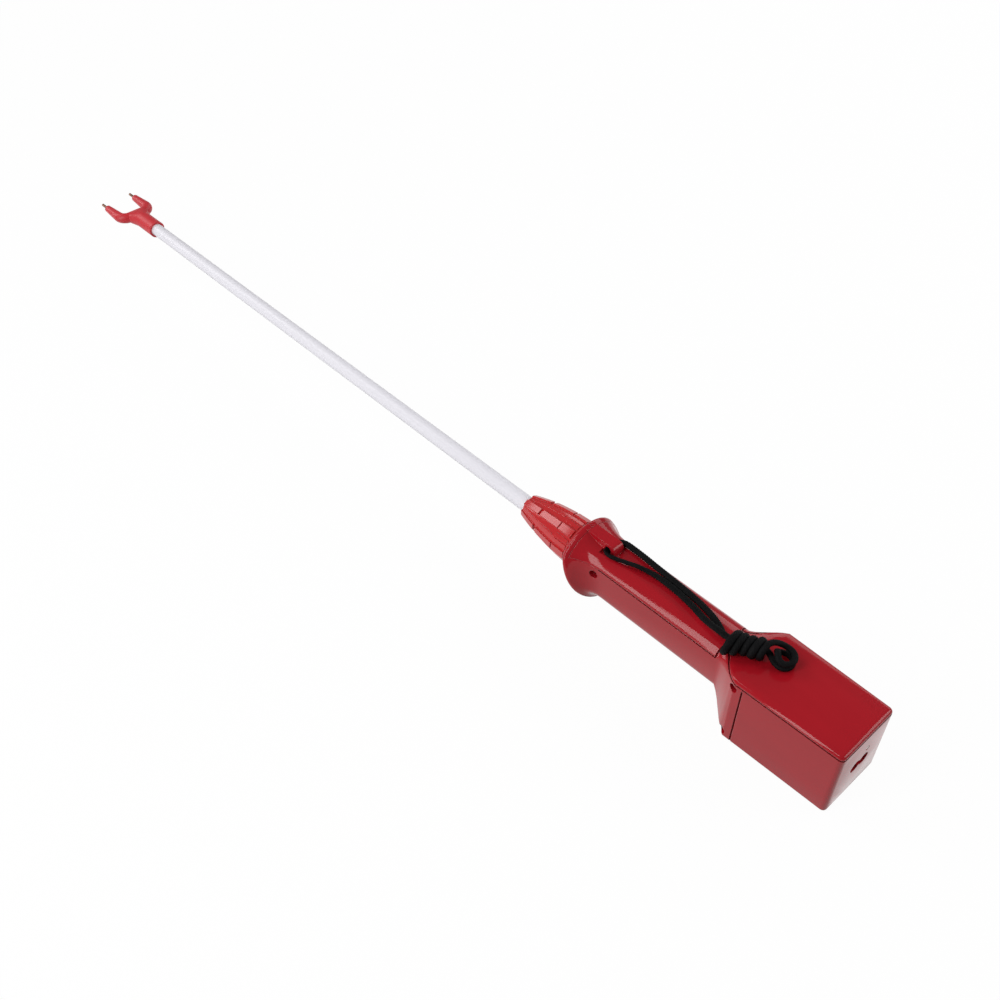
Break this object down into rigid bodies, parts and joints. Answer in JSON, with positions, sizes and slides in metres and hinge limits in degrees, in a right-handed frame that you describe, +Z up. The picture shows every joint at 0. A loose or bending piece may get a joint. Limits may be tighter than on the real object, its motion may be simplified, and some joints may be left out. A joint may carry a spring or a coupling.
{
  "type": "cattle prodder",
  "caption": "Long battery cattle prodder: forked electrode head on a white shaft, clamped by a ribbed nut in a red guarded handle with a trigger and a slide-off battery box.",
  "frame": {"origin": "middle of the footprint, at the height of the battery box's flat underside", "axes": "+X from the fork to the battery box, +Z up to the strap side, -Y the side with the screw recesses"},
  "size_m": [0.8544, 0.056, 0.0727],
  "materials": {
    "bronze": "dull bronze",
    "fork_red": "satin",
    "shaft_white": "smooth pale fibreglass",
    "nut_red": "gloss",
    "steel": "bright",
    "pale_plastic": "natural nylon",
    "seal_rubber": "matt",
    "black_plastic": "fine satin",
    "contact_brass": "bright",
    "housing_red": "high gloss moulding",
    "board_green": "solder mask",
    "core_grey": "ferrite",
    "cell_wrap": "shrink sleeve",
    "lead_red": "insulated wire",
    "lamp_clear": "clear lens",
    "strap_cord": "braided cord"
  },
  "bodies": {
    "handle": {"electrode_pins": "bronze", "fork_head": "fork_red", "shaft_tube": "shaft_white", "shaft_conductors": "bronze", "shaft_collet": "pale_plastic", "seal_ring": "seal_rubber", "shaft_socket": "black_plastic", "contact_plug": "pale_plastic", "contact_pins": "contact_brass", "handle_left": "housing_red", "handle_right": "housing_red", "top_cover": "housing_red", "housing_screws": "steel", "trigger_switch": "black_plastic", "circuit_board": "board_green", "transformer": "core_grey", "capacitors": "cell_wrap", "output_leads": "lead_red", "contact_block": "black_plastic", "contact_clips": "contact_brass", "wrist_strap": "strap_cord", "strap_hank": "strap_cord"},
    "battery_pack": {"battery_case": "housing_red", "pack_cover": "black_plastic", "battery_cells": "cell_wrap", "cell_straps": "steel", "pack_blades": "contact_brass", "charge_inlet": "black_plastic", "inlet_pins": "steel", "charge_lamp": "lamp_clear"},
    "trigger": {"trigger": "black_plastic", "trigger_spring": "steel"},
    "clamp_washer": {"clamp_washer": "steel"},
    "collet_nut": {"collet_nut": "nut_red"}
  },
  "joints": [
    {"name": "trigger_press", "type": "slide", "parent": "handle", "child": "trigger", "axis": [0, 0, 1], "range_m": [0, 0.003], "stiffness_N_per_m": 400, "springref_m": -0.003, "deforming": ["trigger_spring"]},
    {"name": "nut_travel", "type": "slide", "parent": "handle", "child": "clamp_washer", "axis": [-1, 0, 0], "range_m": [0, 0.006]},
    {"name": "nut_turn", "type": "hinge", "parent": "clamp_washer", "child": "collet_nut", "pos_m": [0.168, 0, 0.039], "axis": [-1, 0, 0], "range_deg": [0, 721]},
    {"name": "pack_slide", "type": "slide", "parent": "handle", "child": "battery_pack", "axis": [1, 0, 0], "range_m": [0, 0.062]}
  ],
  "couplings": [
    {"joint": "nut_turn", "follows": "nut_travel", "rad_per_m": 2094.4}
  ]
}
